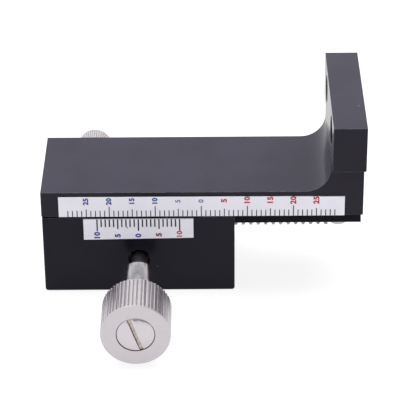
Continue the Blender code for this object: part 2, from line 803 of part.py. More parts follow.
def add_lock():
    low = flank(slide_gap + gib_thickness, side_screw_height) + lock_pad_gap
    pad_high = low + lock_pad_length
    radius = lock_thread_radius
    below = lock_pad_length
    profile = [(0, pad_high), (radius, pad_high), (radius, low - below), (0, low - below)]
    pad = turned("lock_pad", profile, "Y", brass, lock_axis, steps=small_steps)
    cut(pad, cut_pad_tip(low))

    neck_low = base_rear + lock_stand_off
    head_low = neck_low + lock_neck_length
    head_high = head_low + lock_head_length
    head = lock_head_radius
    chamfer = lock_head_chamfer
    tip = pad_high + fit_gap
    profile = [(0, head_high), (head - chamfer, head_high), (head, head_high - chamfer)]
    profile += [(head, head_low + chamfer), (head - chamfer, head_low)]
    profile += [(lock_neck_radius, head_low), (lock_neck_radius, neck_low)]
    profile += [(radius, neck_low), (radius, tip), (0, tip)]
    screw = turned("lock_screw", profile, "Y", nickel, lock_axis, steps=2 * lock_rib_count)
    outlines = groove_outlines(head, lock_groove_depth, lock_groove_width, lock_rib_count)
    cut(screw, extruded("lock_grooves", outlines, head_low + chamfer / 2, head_high + cut_overrun, "Y",
                        parent=lock_axis))


def cut_pad_tip(middle):
    """Slants the pad's tip to lie along the gib. It passes the pad's axis at the middle."""
    reach = lock_thread_radius + cut_overrun
    slant = reach * math.tan(flank_lean)
    far = middle - slant - lock_pad_length - cut_overrun
    corners = [(far, -reach), (middle + slant, -reach), (middle - slant, reach), (far, reach)]
    return extruded("pad_tip", [corners], -reach, reach, "X", parent=lock_axis)


clear_scene()
parts = new_collection("linear_stage")
cutters = new_collection("linear_stage_cutters")
carriage = add_axis("carriage", (carriage_offset, 0, 0))
pinion_axis = add_axis("pinion_axis", (0, 0, pinion_height))
lock_axis = add_axis("lock_axis", (lock_place, 0, side_screw_height))
add_base()
add_gib()
add_gib_screws()
add_bracket()
add_rack()
add_rack_screws()
add_strips()
add_pinion_shaft()
add_bushes()
add_shaft_clip()
add_bore_plug()
add_bush_screw()
add_drive_knob()
add_knob_screw()
add_lock()
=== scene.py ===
import math

import bmesh
import bpy
from mathutils import Matrix, Vector


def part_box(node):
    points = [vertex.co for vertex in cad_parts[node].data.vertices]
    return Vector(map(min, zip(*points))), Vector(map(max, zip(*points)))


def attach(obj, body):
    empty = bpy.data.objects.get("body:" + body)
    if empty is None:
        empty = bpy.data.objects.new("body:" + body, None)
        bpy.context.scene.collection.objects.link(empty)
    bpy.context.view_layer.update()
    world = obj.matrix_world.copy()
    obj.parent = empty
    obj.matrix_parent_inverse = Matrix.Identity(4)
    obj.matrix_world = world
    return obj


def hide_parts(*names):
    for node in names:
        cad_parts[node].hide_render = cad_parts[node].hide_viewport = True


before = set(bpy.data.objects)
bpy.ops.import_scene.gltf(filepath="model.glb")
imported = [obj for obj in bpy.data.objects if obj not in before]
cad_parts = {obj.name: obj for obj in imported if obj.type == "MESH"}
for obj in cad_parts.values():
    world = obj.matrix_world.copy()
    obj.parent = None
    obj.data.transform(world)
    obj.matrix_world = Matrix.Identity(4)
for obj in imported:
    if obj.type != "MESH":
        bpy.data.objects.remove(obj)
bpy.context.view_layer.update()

# Looks of a small linear stage over its CAD model: +X along its travel, +Y away from the knob, +Z up.
# The pieces' dictionaries are in mm and degrees, and the studio's places are in metres.
mm = 0.001
print("frame loaded,", len(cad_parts), "nodes")

# Small tools

near = 0.02  # a point this near to a place is at it
facing = 0.9  # a face looks to a side when its normal has this much of it
cleaning = {
    "nodeGap": 0.002,  # points of a CAD node that lie nearer than this are one
    "flatAngle": 1,  # faces that bend less than this are joined
    "seamGap": 0.0005,  # points of a new piece that lie nearer than this are one
}


def deselectAll():
    if bpy.context.object and bpy.context.object.mode != "OBJECT":
        bpy.ops.object.mode_set(mode="OBJECT")
    bpy.ops.object.select_all(action="DESELECT")


def pickOnly(piece):
    deselectAll()
    piece.select_set(True)
    bpy.context.view_layer.objects.active = piece


def enterEdit(piece, mode="VERT"):
    pickOnly(piece)
    bpy.ops.object.mode_set(mode="EDIT")
    bpy.ops.mesh.select_mode(type=mode)


def leaveEdit():
    bpy.ops.object.mode_set(mode="OBJECT")


def settle(piece):
    # the place goes into the mesh, so that the object stands at the origin
    pickOnly(piece)
    bpy.ops.object.transform_apply(location=True, rotation=True, scale=True)


def roundEdges(piece, width, segments=2, limit=30, edgeMaterial=-1):
    # the edges that bend by more than the limit, or with no limit each by its own weight
    pickOnly(piece)
    bpy.ops.object.modifier_add(type="BEVEL")
    bevel = piece.modifiers[-1]
    bevel.width = width * mm
    bevel.segments = segments
    bevel.limit_method = "ANGLE" if limit else "WEIGHT"
    if limit:
        bevel.angle_limit = math.radians(limit)
    bevel.use_clamp_overlap = False
    bevel.loop_slide = False
    bevel.material = edgeMaterial  # its place in the piece's list, -1 for the neighbours' own
    bpy.ops.object.modifier_apply(modifier=bevel.name)


def smoothShade(piece, angle=35):
    pickOnly(piece)
    bpy.ops.object.shade_smooth_by_angle(angle=math.radians(angle))
    bpy.ops.object.modifier_add(type="WEIGHTED_NORMAL")
    piece.modifiers[-1].keep_sharp = True
    bpy.ops.object.modifier_apply(modifier=piece.modifiers[-1].name)


def cleanCopy(nodeName, pieceName):
    # a node's mesh is loose triangles, so the copy is merged and its flat faces are joined
    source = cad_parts[nodeName]
    piece = bpy.data.objects.new(pieceName, source.data.copy())
    bpy.context.scene.collection.objects.link(piece)
    piece.data.materials.clear()
    enterEdit(piece)
    bpy.ops.mesh.select_all(action="SELECT")
    bpy.ops.mesh.remove_doubles(threshold=cleaning["nodeGap"] * mm)
    bpy.ops.mesh.dissolve_limited(angle_limit=math.radians(cleaning["flatAngle"]))
    leaveEdit()
    return piece


def lowerPoints(piece, drop, chosen):
    for vertex in piece.data.vertices:
        if chosen(vertex.co):
            vertex.co.z -= drop * mm


def dress(piece, *materials):
    piece.data.materials.clear()
    for material in materials:
        piece.data.materials.append(material)


def joinAll(pieces, name):
    deselectAll()
    for piece in pieces:
        piece.select_set(True)
    bpy.context.view_layer.objects.active = pieces[0]
    bpy.ops.object.join()
    pieces[0].name = name
    return pieces[0]


def place(piece, body, slot, *nodes):
    settle(piece)
    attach(piece, body)
    if nodes:
        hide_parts(*nodes)


# Turned pieces stand along Z while they are shaped: a ring is extruded from one size to the next

turnedSmooth = 32  # their edges that bend by more than this stay sharp


def startRing(name, steps, radius, along, shape=None):
    deselectAll()
    bpy.ops.mesh.primitive_circle_add(vertices=steps, radius=radius * mm, fill_type="NOTHING",
                                      location=(0, 0, 0))
    piece = bpy.context.object
    piece.name = name
    enterEdit(piece)
    bpy.ops.mesh.select_all(action="SELECT")
    setRing(piece, radius, along, shape)
    return piece


def setRing(piece, radius, along, shape=None):
    # shape gives how far a point of a knurl or thread stands in from the radius
    mesh = bmesh.from_edit_mesh(piece.data)
    for vertex in mesh.verts:
        if vertex.select:
            angle = math.atan2(vertex.co.y, vertex.co.x)
            size = radius - (shape(angle, along) if shape else 0)
            vertex.co = (size * mm * math.cos(angle), size * mm * math.sin(angle), along * mm)
    bmesh.update_edit_mesh(piece.data)


def extrudeRing(piece, radius, along, shape=None):
    bpy.ops.mesh.extrude_region_move(TRANSFORM_OT_translate={"value": (0, 0, 0)})
    setRing(piece, radius, along, shape)


def closeEnd(piece):
    # a centre point closes the ring that is selected
    bpy.ops.mesh.extrude_region_move(TRANSFORM_OT_translate={"value": (0, 0, 0)})
    bpy.ops.mesh.merge(type="CENTER")


def finishTurned(piece):
    bpy.ops.mesh.select_all(action="SELECT")
    bpy.ops.mesh.remove_doubles(threshold=cleaning["seamGap"] * mm)
    bpy.ops.mesh.normals_make_consistent(inside=False)
    leaveEdit()


def turned(name, steps, rings, closed=True, flatTop=False):
    # rings are (radius, place along Z) or (radius, place, shape)
    piece = startRing(name, steps, *rings[0])
    if closed:
        closeEnd(piece)
        bpy.ops.mesh.select_all(action="DESELECT")
        mesh = bmesh.from_edit_mesh(piece.data)
        for edge in mesh.edges:
            if edge.is_boundary:
                edge.select_set(True)
        bmesh.update_edit_mesh(piece.data)
    for ring in rings[1:]:
        extrudeRing(piece, *ring)
    if flatTop:
        bpy.ops.mesh.edge_face_add()
    elif closed:
        closeEnd(piece)
    finishTurned(piece)
    return piece


def layAlongY(piece, x, y, z, front=True):
    # front: the piece's +Z end comes to face -Y; otherwise it faces +Y
    turn = Matrix.Rotation(math.radians(90 if front else -90), 4, "X")
    piece.matrix_world = Matrix.Translation(Vector((x, y, z)) * mm) @ turn


# Materials

noiseBand = (0.3, 0.7)  # most of a noise's values lie between these


def newMaterial(name):
    material = bpy.data.materials.new(name)
    material.use_nodes = True
    return material, material.node_tree.nodes, material.node_tree.links


def newShader(name, metallic=0.0, specular=0.5):
    material, nodes, links = newMaterial(name)
    shader = nodes["Principled BSDF"]
    shader.inputs["Metallic"].default_value = metallic
    shader.inputs["Specular IOR Level"].default_value = specular
    return material, nodes, links, shader


def connect(links, shader, colour, roughness, normal):
    links.new(colour, shader.inputs["Base Color"])
    links.new(roughness, shader.inputs["Roughness"])
    links.new(normal, shader.inputs["Normal"])


def objectPlace(nodes, links, scale=(1, 1, 1), location=(0, 0, 0)):
    coordinate = nodes.new("ShaderNodeTexCoord")
    mapping = nodes.new("ShaderNodeMapping")
    mapping.inputs["Scale"].default_value = scale
    mapping.inputs["Location"].default_value = location
    links.new(coordinate.outputs["Object"], mapping.inputs["Vector"])
    return mapping.outputs["Vector"]


def noiseAt(nodes, links, vector, scale, detail=3, roughness=0.55):
    noise = nodes.new("ShaderNodeTexNoise")
    noise.inputs["Scale"].default_value = scale
    noise.inputs["Detail"].default_value = detail
    noise.inputs["Roughness"].default_value = roughness
    links.new(vector, noise.inputs["Vector"])
    return noise.outputs["Fac"]


def spread(nodes, links, value, low, high, outLow, outHigh):
    remap = nodes.new("ShaderNodeMapRange")
    remap.inputs["From Min"].default_value = low
    remap.inputs["From Max"].default_value = high
    remap.inputs["To Min"].default_value = outLow
    remap.inputs["To Max"].default_value = outHigh
    links.new(value, remap.inputs["Value"])
    return remap.outputs["Result"]


def mixColours(nodes, links, share, first, second):
    # a Mix node takes its colours at inputs 6 and 7 and gives the result at output 2
    mix = nodes.new("ShaderNodeMix")
    mix.data_type = "RGBA"
    for socket, colour in ((6, first), (7, second)):
        if isinstance(colour, tuple):
            mix.inputs[socket].default_value = (*colour, 1)
        else:
            links.new(colour, mix.inputs[socket])
    links.new(share, mix.inputs[0])
    return mix.outputs[2]


def combine(nodes, links, operation, first, second):
    made = nodes.new("ShaderNodeMath")
    made.operation = operation
    links.new(first, made.inputs[0])
    links.new(second, made.inputs[1])
    return made.outputs[0]


def addBump(nodes, links, height, strength, distance, before=None):
    bump = nodes.new("ShaderNodeBump")
    bump.inputs["Strength"].default_value = strength
    bump.inputs["Distance"].default_value = distance * mm
    links.new(height, bump.inputs["Height"])
    if before:
        links.new(before, bump.inputs["Normal"])
    return bump.outputs["Normal"]


def shaded(colour, shares):
    return tuple(c * share for c, share in zip(colour, shares))


# Where two colours mix, four numbers give the noise at which the second one begins and is full, and
# its least and greatest share. A bump has its strength and its height in mm.
anodising = {
    "dark": (0.0142, 0.0130, 0.0208),
    "light": (0.0180, 0.0166, 0.0268),
    "edge": (0.100, 0.096, 0.110),
    "dust": (0.11, 0.105, 0.11),
    # each finish has its shares of the colour, specular level, lowest and highest roughness
    "carriage": ((1.35, 1.35, 1.35), 0.205, 0.19, 0.26),
    # painted shade: faces that look to -Y are painted darker and less blue than the carriage's other
    # faces
    "front": ((0.98, 0.98, 0.82), 0.185, 0.19, 0.26),
    # painted shade: the upright's inner face is painted darker than the carriage's other faces
    "inner": ((1.00, 0.98, 1.00), 0.17, 0.13, 0.17),
    # painted shade: the base block, and the bracket under its plate, are painted darker and duller
    # than the carriage
    "base": ((0.50, 0.50, 0.50), 0.17, 0.19, 0.26),
    # painted shade: the counterbores' walls are painted much darker and nearly without gloss
    "hole": ((0.30, 0.30, 0.30), 0.03, 0.19, 0.26),
    "tint": (0.86, 0.82, 1.0, 1),  # of its specular and its sheen
    "sheen": 0.02,
    "cloudScale": 90,
    "grainScale": 5200,
    "grainBump": (0.10, 0.01),
    "lineScale": (60, 5200, 5200),  # milling lines along X
    "lineBump": (0.06, 0.01),
    "rubScale": 700,
    "rubbed": (0.42, 0.66, 0.15, 1),
    "speckScale": 210,
    "speckSize": (0.030, 0.045, 1, 0),
    "speckedScale": 330,
    "specked": (0.56, 0.60, 0, 1),  # few of the specks are dust
}


def blackAnodised(name, worn, finish="carriage"):
    shares, specular, low, high = anodising[finish]
    material, nodes, links, shader = newShader(name, specular=specular)
    shader.inputs["Specular Tint"].default_value = anodising["tint"]
    shader.inputs["Sheen Weight"].default_value = anodising["sheen"]
    shader.inputs["Sheen Tint"].default_value = anodising["tint"]
    here = objectPlace(nodes, links)
    cloud = noiseAt(nodes, links, here, anodising["cloudScale"], detail=2)
    grain = noiseAt(nodes, links, here, anodising["grainScale"], detail=2)
    alongX = objectPlace(nodes, links, scale=anodising["lineScale"])
    lines = noiseAt(nodes, links, alongX, 1, detail=2)
    colour = mixColours(nodes, links, spread(nodes, links, cloud, *noiseBand, 0, 1),
                        shaded(anodising["dark"], shares), shaded(anodising["light"], shares))
    if worn:
        rub = noiseAt(nodes, links, here, anodising["rubScale"], detail=4, roughness=0.7)
        bare = spread(nodes, links, rub, *anodising["rubbed"])
        colour = mixColours(nodes, links, bare, colour, anodising["edge"])
    specks = nodes.new("ShaderNodeTexVoronoi")
    specks.inputs["Scale"].default_value = anodising["speckScale"]
    links.new(here, specks.inputs["Vector"])
    dust = spread(nodes, links, specks.outputs["Distance"], *anodising["speckSize"])
    some = noiseAt(nodes, links, here, anodising["speckedScale"], detail=1)
    dust = combine(nodes, links, "MULTIPLY", dust,
                   spread(nodes, links, some, *anodising["specked"]))
    colour = mixColours(nodes, links, dust, colour, anodising["dust"])
    normal = addBump(nodes, links, grain, *anodising["grainBump"])
    normal = addBump(nodes, links, lines, *anodising["lineBump"], normal)
    connect(links, shader, colour, spread(nodes, links, cloud, *noiseBand, low, high), normal)
    return material


nickelPlate = {
    "colour": (0.635, 0.595, 0.630),
    "stain": (0.560, 0.520, 0.540),
    "stained": (0.50, 0.80, 0, 0.5),
    # each finish has its shares of the colour, lowest and highest roughness
    "face": ((1.00, 1.00, 1.00), 0.22, 0.32),
    "rim": ((0.92, 0.92, 0.92), 0.18, 0.28),
    # painted reflection: the hub, one piece of nickel with the knob's face, is painted lighter and
    # less purple than it
    "hub": ((1.25, 1.30, 1.18), 0.13, 0.19),
    "dome": ((1.08, 1.08, 1.08), 0.18, 0.26),
    "lock": ((0.84, 0.84, 0.84), 0.30, 0.42),
    "cloudScale": 900,
    "fineScale": 5200,
    "fineBump": (0.05, 0.002),
    "ringHeight": 0.002,
    "ringWaver": {"Distortion": 2.5, "Detail": 2, "Detail Scale": 1.5},
}


def satinNickel(name, finish, centre=(0, 0, 0), ringScale=900, ringStrength=0.12):
    # turning marks run in rings round the line along Y through the centre
    shares, low, high = nickelPlate[finish]
    material, nodes, links, shader = newShader(name, metallic=1)
    here = objectPlace(nodes, links, location=tuple(-c * mm for c in centre))
    cloud = noiseAt(nodes, links, here, nickelPlate["cloudScale"], detail=4)
    fine = noiseAt(nodes, links, here, nickelPlate["fineScale"], detail=2)
    rings = nodes.new("ShaderNodeTexWave")
    rings.wave_type = "RINGS"
    rings.rings_direction = "Y"
    rings.inputs["Scale"].default_value = ringScale
    for key, value in nickelPlate["ringWaver"].items():
        rings.inputs[key].default_value = value
    links.new(here, rings.inputs["Vector"])
    stains = spread(nodes, links, cloud, *nickelPlate["stained"])
    colour = mixColours(nodes, links, stains, shaded(nickelPlate["colour"], shares),
                        shaded(nickelPlate["stain"], shares))
    normal = addBump(nodes, links, rings.outputs["Fac"], ringStrength, nickelPlate["ringHeight"])
    normal = addBump(nodes, links, fine, *nickelPlate["fineBump"], normal)
    connect(links, shader, colour, spread(nodes, links, fine, *noiseBand, low, high), normal)
    return material


metal = {"cloudScale": 420, "worn": (0.42, 0.68, 0, 1), "lineBump": (0.15, 0.005)}


def machinedMetal(name, colour, worn, roughness, metallic=1.0, lineScale=(4200, 4200, 4200)):
    material, nodes, links, shader = newShader(name, metallic)
    here = objectPlace(nodes, links)
    cloud = noiseAt(nodes, links, here, metal["cloudScale"], detail=4)
    lines = noiseAt(nodes, links, objectPlace(nodes, links, scale=lineScale), 1, detail=2)
    mixed = mixColours(nodes, links, spread(nodes, links, cloud, *metal["worn"]), colour, worn)
    connect(links, shader, mixed, spread(nodes, links, cloud, *noiseBand, *roughness),
            addBump(nodes, links, lines, *metal["lineBump"]))
    return material


film = {
    "colour": (0.820, 0.802, 0.884),
    "grey": (0.765, 0.747, 0.830),
    "greyed": (0.45, 0.75, 0, 0.6),
    "specular": 0.35,
    "cloudScale": 200,
    "grainScale": 6000,
    "grainBump": (0.08, 0.004),
    "roughness": (0.32, 0.44),
}


def whiteFilm(name):
    material, nodes, links, shader = newShader(name, specular=film["specular"])
    here = objectPlace(nodes, links)
    cloud = noiseAt(nodes, links, here, film["cloudScale"])
    grain = noiseAt(nodes, links, here, film["grainScale"], detail=2)
    greyed = spread(nodes, links, cloud, *film["greyed"])
    colour = mixColours(nodes, links, greyed, film["colour"], film["grey"])
    connect(links, shader, colour, spread(nodes, links, grain, *noiseBand, *film["roughness"]),
            addBump(nodes, links, grain, *film["grainBump"]))
    return material


patches = {
    # each has its noise's scale, how its two colours mix, its roughness and its bump
    "groove": (4200, (0.35, 0.65, 0, 1), (0.45, 0.65), (0.2, 0.006)),
    "slot": (1800, (0.4, 0.7, 0, 1), (0.3, 0.45), (0.2, 0.004)),
    "ink": (2600, (0.45, 0.75, 0, 0.7), (0.4, 0.55), (0.1, 0.003)),
}


def patchy(name, kind, first, second, metallic=0.0, specular=0.5):
    # one noise mixes the two colours and varies the roughness and the height
    scale, mixed, roughness, bump = patches[kind]
    material, nodes, links, shader = newShader(name, metallic, specular)
    noise = noiseAt(nodes, links, objectPlace(nodes, links), scale)
    colour = mixColours(nodes, links, spread(nodes, links, noise, *mixed), first, second)
    connect(links, shader, colour, spread(nodes, links, noise, *noiseBand, *roughness),
            addBump(nodes, links, noise, *bump))
    return material


pinionHeight = 8.0075
lockAxis = (-11.1, 16.4)  # X and Z
pinionAxis = (0, 0, pinionHeight)
anodisedFaces = blackAnodised("anodisedFaces", False)
anodisedEdges = blackAnodised("anodisedEdges", True)
shadedFrontFaces = blackAnodised("shadedFrontFaces", False, "front")
shadedInnerFaces = blackAnodised("shadedInnerFaces", False, "inner")
shadedHoleFaces = blackAnodised("shadedHoleFaces", False, "hole")
shadedBaseFaces = blackAnodised("shadedBaseFaces", False, "base")
shadedBaseEdges = blackAnodised("shadedBaseEdges", True, "base")
knobNickel = satinNickel("knobNickel", "face", pinionAxis)
rimNickel = satinNickel("rimNickel", "rim", pinionAxis, ringStrength=0.04)
hubNickelPaintedLight = satinNickel("hubNickelPaintedLight", "hub", pinionAxis, ringStrength=0.04)
domeNickel = satinNickel("domeNickel", "dome", pinionAxis, ringStrength=0.06)
lockNickel = satinNickel("lockNickel", "lock", (lockAxis[0], 0, lockAxis[1]))
screwNickel = satinNickel("screwNickel", "rim", ringScale=1400, ringStrength=0.05)
# mottled painted shade in the floors of the knurls and on the walls of a driver slot, and browned
# bare metal on the floor of a driver slot
grooveShade = patchy("grooveShade", "groove", (0.150, 0.139, 0.142), (0.225, 0.2085, 0.213),
                    metallic=0.6)
slotFloor = patchy("slotFloor", "slot", (0.60, 0.520, 0.480), (0.42, 0.364, 0.336), metallic=1)
machinedSteel = machinedMetal("machinedSteel", (0.37, 0.36, 0.36), (0.28, 0.268, 0.262),
                              (0.30, 0.45), lineScale=(5200, 240, 5200))
shaftSteel = machinedMetal("shaftSteel", (0.36, 0.35, 0.385), (0.18, 0.170, 0.190),
                           (0.25, 0.42), lineScale=(900, 6000, 900))
blackenedSteel = machinedMetal("blackenedSteel", (0.030, 0.029, 0.031), (0.065, 0.060, 0.058),
                               (0.35, 0.5), metallic=0.7)
sinteredBronze = machinedMetal("sinteredBronze", (0.190, 0.150, 0.145), (0.110, 0.088, 0.086),
                               (0.45, 0.65))
turnedBrass = machinedMetal("turnedBrass", (0.74, 0.55, 0.24), (0.55, 0.38, 0.15), (0.25, 0.40))
scaleFilm = whiteFilm("scaleFilm")
inkSpecular = 0.3
blackInk = patchy("blackInk", "ink", (0.012, 0.011, 0.017), (0.040, 0.038, 0.052),
                  specular=inkSpecular)
blueInk = patchy("blueInk", "ink", (0.018, 0.045, 0.270), (0.050, 0.095, 0.360),
                 specular=inkSpecular)
redInk = patchy("redInk", "ink", (0.500, 0.004, 0.024), (0.560, 0.045, 0.085),
                specular=inkSpecular)
crimsonInk = patchy("crimsonInk", "ink", (0.230, 0.004, 0.022), (0.300, 0.030, 0.055),
                    specular=inkSpecular)
print("materials made")

# Base block and carriage bracket, milled and anodised

milled = {"segments": 2, "bend": 30}  # edges that bend by more than this are broken
block = {"edge": 0.08}
bracket = {
    "edge": 0.09,
    "dovetailZ": 14.5,  # its lower face
    "dovetailDrop": 0.15,
    "flanksFrom": 7.5,  # Y each way, beyond which that face's points belong to the flanks
    "flanksOut": 0.087,
    "innerX": 41.7,  # the upright's inner face
    "plateZ": 25.0,  # the plate's top
    "cadFillet": 6.0,  # radius between these two in the CAD
    "fillet": 5.5,
    "innerFlat": 0.99,  # how squarely the inner face looks to -X
    "holeY": 9.5,  # the head's counterbores, each way
    "holeZ": 38.55,
    "holeRadius": 3.1,
    "holeWall": 0.1,  # a point this near to the wall is on it
    "holeShadeSpan": (0.005, 7.0),  # they are painted dark, as painted shade, from here to here behind the inner face
    "holeRim": 0.5,  # share of the edge's width that breaks their rims
    "underside": 19.3,  # Z below which the bracket is painted darker like the base, as painted shade under its plate
}


def lowerDovetail(piece):
    # its lower face comes down into the gap under it, and the flanks keep their slope
    for vertex in piece.data.vertices:
        if abs(vertex.co.z / mm - bracket["dovetailZ"]) < near:
            vertex.co.z -= bracket["dovetailDrop"] * mm
            if abs(vertex.co.y) > bracket["flanksFrom"] * mm:
                vertex.co.y += math.copysign(bracket["flanksOut"] * mm, vertex.co.y)


def tightenFillet(piece):
    # the arc's lines go to a smaller arc between the same two faces
    x, z = bracket["innerX"], bracket["plateZ"]
    radius, smaller = bracket["cadFillet"], bracket["fillet"]
    share = smaller / radius
    for vertex in piece.data.vertices:
        across = vertex.co.x / mm - (x - radius)
        up = vertex.co.z / mm - (z + radius)
        if abs(math.hypot(across, up) - radius) < near and across > -near and up < near:
            vertex.co.x = (x - smaller + across * share) * mm
            vertex.co.z = (z + smaller + up * share) * mm


def fromHole(point):
    # distance from the wall of the nearer counterbore, less than 0 inside it
    across = math.hypot(abs(point.y) / mm - bracket["holeY"], point.z / mm - bracket["holeZ"])
    return across - bracket["holeRadius"]


def weighEdges(piece):
    # the counterbores' rims are broken less than the other edges
    mesh = bmesh.new()
    mesh.from_mesh(piece.data)
    weight = mesh.edges.layers.float.new("bevel_weight_edge")
    for edge in mesh.edges:
        if edge.calc_face_angle(0) > math.radians(milled["bend"]):
            middle = (edge.verts[0].co + edge.verts[1].co) / 2
            onWall = abs(fromHole(middle)) < bracket["holeWall"]
            onFace = abs(middle.x / mm - bracket["innerX"]) < near
            edge[weight] = bracket["holeRim"] if onWall and onFace else 1
    mesh.to_mesh(piece.data)
    mesh.free()


def dyeFaces(piece):
    # the broken edges already have theirs
    plain, broken, hole, inner, under, underBroken, front = range(len(piece.data.materials))
    start, end = bracket["holeShadeSpan"]
    for face in piece.data.polygons:
        behind = face.center.x / mm - bracket["innerX"]
        height = face.center.z / mm
        # painted shade under the plate, in the base's darker colour
        if height < bracket["underside"]:
            face.material_index = underBroken if face.material_index == broken else under
        # painted shade inside the counterbores
        elif start < behind < end and fromHole(face.center) < bracket["holeWall"]:
            face.material_index = hole
        elif face.material_index == plain:
            # painted shade on the upright's inner face
            if face.normal.x < -bracket["innerFlat"] and height > bracket["plateZ"]:
                face.material_index = inner
            # painted shade on the faces that look to -Y
            elif face.normal.y < -facing:
                face.material_index = front


def baseBlock():
    piece = cleanCopy("base_block", "baseBlock")
    # the base block takes the base's darker colour, painted shade
    dress(piece, shadedBaseFaces, shadedBaseEdges)
    roundEdges(piece, block["edge"], milled["segments"], milled["bend"], edgeMaterial=1)
    smoothShade(piece)
    place(piece, "base", "black_anodised", "base_block")


def carriageBracket():
    piece = cleanCopy("carriage_bracket", "carriageBracket")
    lowerDovetail(piece)
    tightenFillet(piece)
    dress(piece, anodisedFaces, anodisedEdges, shadedHoleFaces, shadedInnerFaces, shadedBaseFaces, shadedBaseEdges,
          shadedFrontFaces)
    weighEdges(piece)
    roundEdges(piece, bracket["edge"], milled["segments"], None, edgeMaterial=1)
    dyeFaces(piece)
    smoothShade(piece)
    place(piece, "carriage", "black_anodised", "carriage_bracket")


baseBlock()
carriageBracket()
print("base block and bracket made")

# Scale strips: the film, its division marks and its numbers

strip = {
    "corner": 0.05,
    "markRise": 0.012,
    "markGap": 0.05,  # between the film's edge and a mark
    "markCorner": 0.03,
    "spacing": 1.06,  # of the figures
    "stretch": 1.12,
    "curveSteps": 4,
}
ruler = {
    "middle": 13.75,  # X of its zero
    "edge": 19.12,  # Z where the marks begin
    "way": 1,  # and whether they run up or down from there
    "front": -12.85,
    "reach": 29,
    "step": 1,
    "marks": {10: 2.6, 5: 1.9, 1: 1.55},  # how far each kind of mark runs
    "markWidth": 0.21,
    "figures": 22.95,
    "figure": 1.50,
    "trims": (0.12, 0.12, 0.0, -0.14),  # lower edge left and right, upper edge left and right
}
vernier = {
    "middle": 0.0,
    "edge": 18.5,
    "way": -1,
    "front": -12.85,
    "reach": 10,
    "step": 0.9,
    "marks": {10: 3.0, 5: 2.5, 1: 2.0},
    "markWidth": 0.30,
    "blot": (-2.45, 16.20, 16.45),  # X, low and high of a speck of ink under its marks
    "figures": 14.45,
    "figure": 1.64,
    "trims": (0.10, 0.45, 0.0, 0.0),
}


def stripPiece(nodeName, pieceName, body, trims):
    low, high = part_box(nodeName)
    deselectAll()
    middle = [(a + b) / 2 for a, b in zip(low, high)]
    bpy.ops.mesh.primitive_cube_add(size=1, location=middle)
    piece = bpy.context.object
    piece.name = pieceName
    piece.dimensions = [b - a for a, b in zip(low, high)]
    settle(piece)
    for vertex in piece.data.vertices:  # cut by hand, not quite square
        corner = (vertex.co.x > middle[0]) + 2 * (vertex.co.z > middle[2])
        vertex.co.z += trims[corner] * mm
    roundEdges(piece, strip["corner"])
    smoothShade(piece)
    dress(piece, scaleFilm)
    place(piece, body, "white_film", nodeName)


def markAt(scale, x, low, high):
    # one division mark, a thin raised bar of ink with its corners rounded
    deselectAll()
    rise = strip["markRise"]
    bpy.ops.mesh.primitive_cube_add(size=1, location=(x * mm, (scale["front"] - rise / 2) * mm,
                                                      (low + high) / 2 * mm))
    mark = bpy.context.object
    mark.dimensions = (scale["markWidth"] * mm, 2 * rise * mm, (high - low) * mm)
    settle(mark)
    enterEdit(mark, "EDGE")
    mesh = bmesh.from_edit_mesh(mark.data)
    for edge in mesh.edges:
        across = edge.verts[0].co - edge.verts[1].co
        edge.select_set(abs(across.y) > abs(across.x) + abs(across.z))
    bmesh.update_edit_mesh(mark.data)
    bpy.ops.mesh.bevel(offset=strip["markCorner"] * mm, segments=2)
    leaveEdit()
    return mark


def markLength(number, lengths):
    for step in sorted(lengths, reverse=True):
        if number % step == 0:
            return lengths[step]


def markRow(scale):
    marks = []
    for number in range(-scale["reach"], scale["reach"] + 1):
        ends = [scale["edge"] + scale["way"] * away
                for away in (strip["markGap"], markLength(number, scale["marks"]))]
        marks.append(markAt(scale, scale["middle"] + number * scale["step"], min(ends), max(ends)))
    return marks


def figureAt(scale, text, x, z, size, bold):
    # the figures are read from below upwards, so they stand a quarter turn to the left
    deselectAll()
    bpy.ops.object.text_add(location=(0, 0, 0))
    figure = bpy.context.object
    figure.data.body = text
    figure.data.align_x = "CENTER"
    figure.data.align_y = "CENTER"
    figure.data.size = size * mm
    figure.data.space_character = strip["spacing"]
    figure.data.offset = bold * mm
    figure.data.extrude = strip["markRise"] * mm
    figure.data.resolution_u = strip["curveSteps"]
    bpy.ops.object.convert(target="MESH")
    figure = bpy.context.object
    stand = Matrix.Rotation(math.radians(90), 4, "X")
    quarter = Matrix.Rotation(math.radians(90), 4, "Z")
    wide = Matrix.Scale(strip["stretch"], 4, (1, 0, 0))
    there = Matrix.Translation(Vector((x, scale["front"], z)) * mm)
    figure.matrix_world = there @ stand @ quarter @ wide
    settle(figure)
    enterEdit(figure)
    bpy.ops.mesh.select_all(action="SELECT")
    bpy.ops.mesh.remove_doubles(threshold=cleaning["seamGap"] * mm)
    leaveEdit()
    return figure


def inked(pieces, name, ink, body):
    piece = joinAll(pieces, name)
    dress(piece, ink)
    place(piece, body, "white_film")


def figureRow(scale, numbers, ink, name, body, bold, rise=0.0, swell=1.0):
    figures = []
    for number in numbers:
        x = scale["middle"] + number * scale["step"]
        figures.append(figureAt(scale, str(abs(number)), x, scale["figures"] + rise,
                                scale["figure"] * swell, bold))
    inked(figures, name, ink, body)


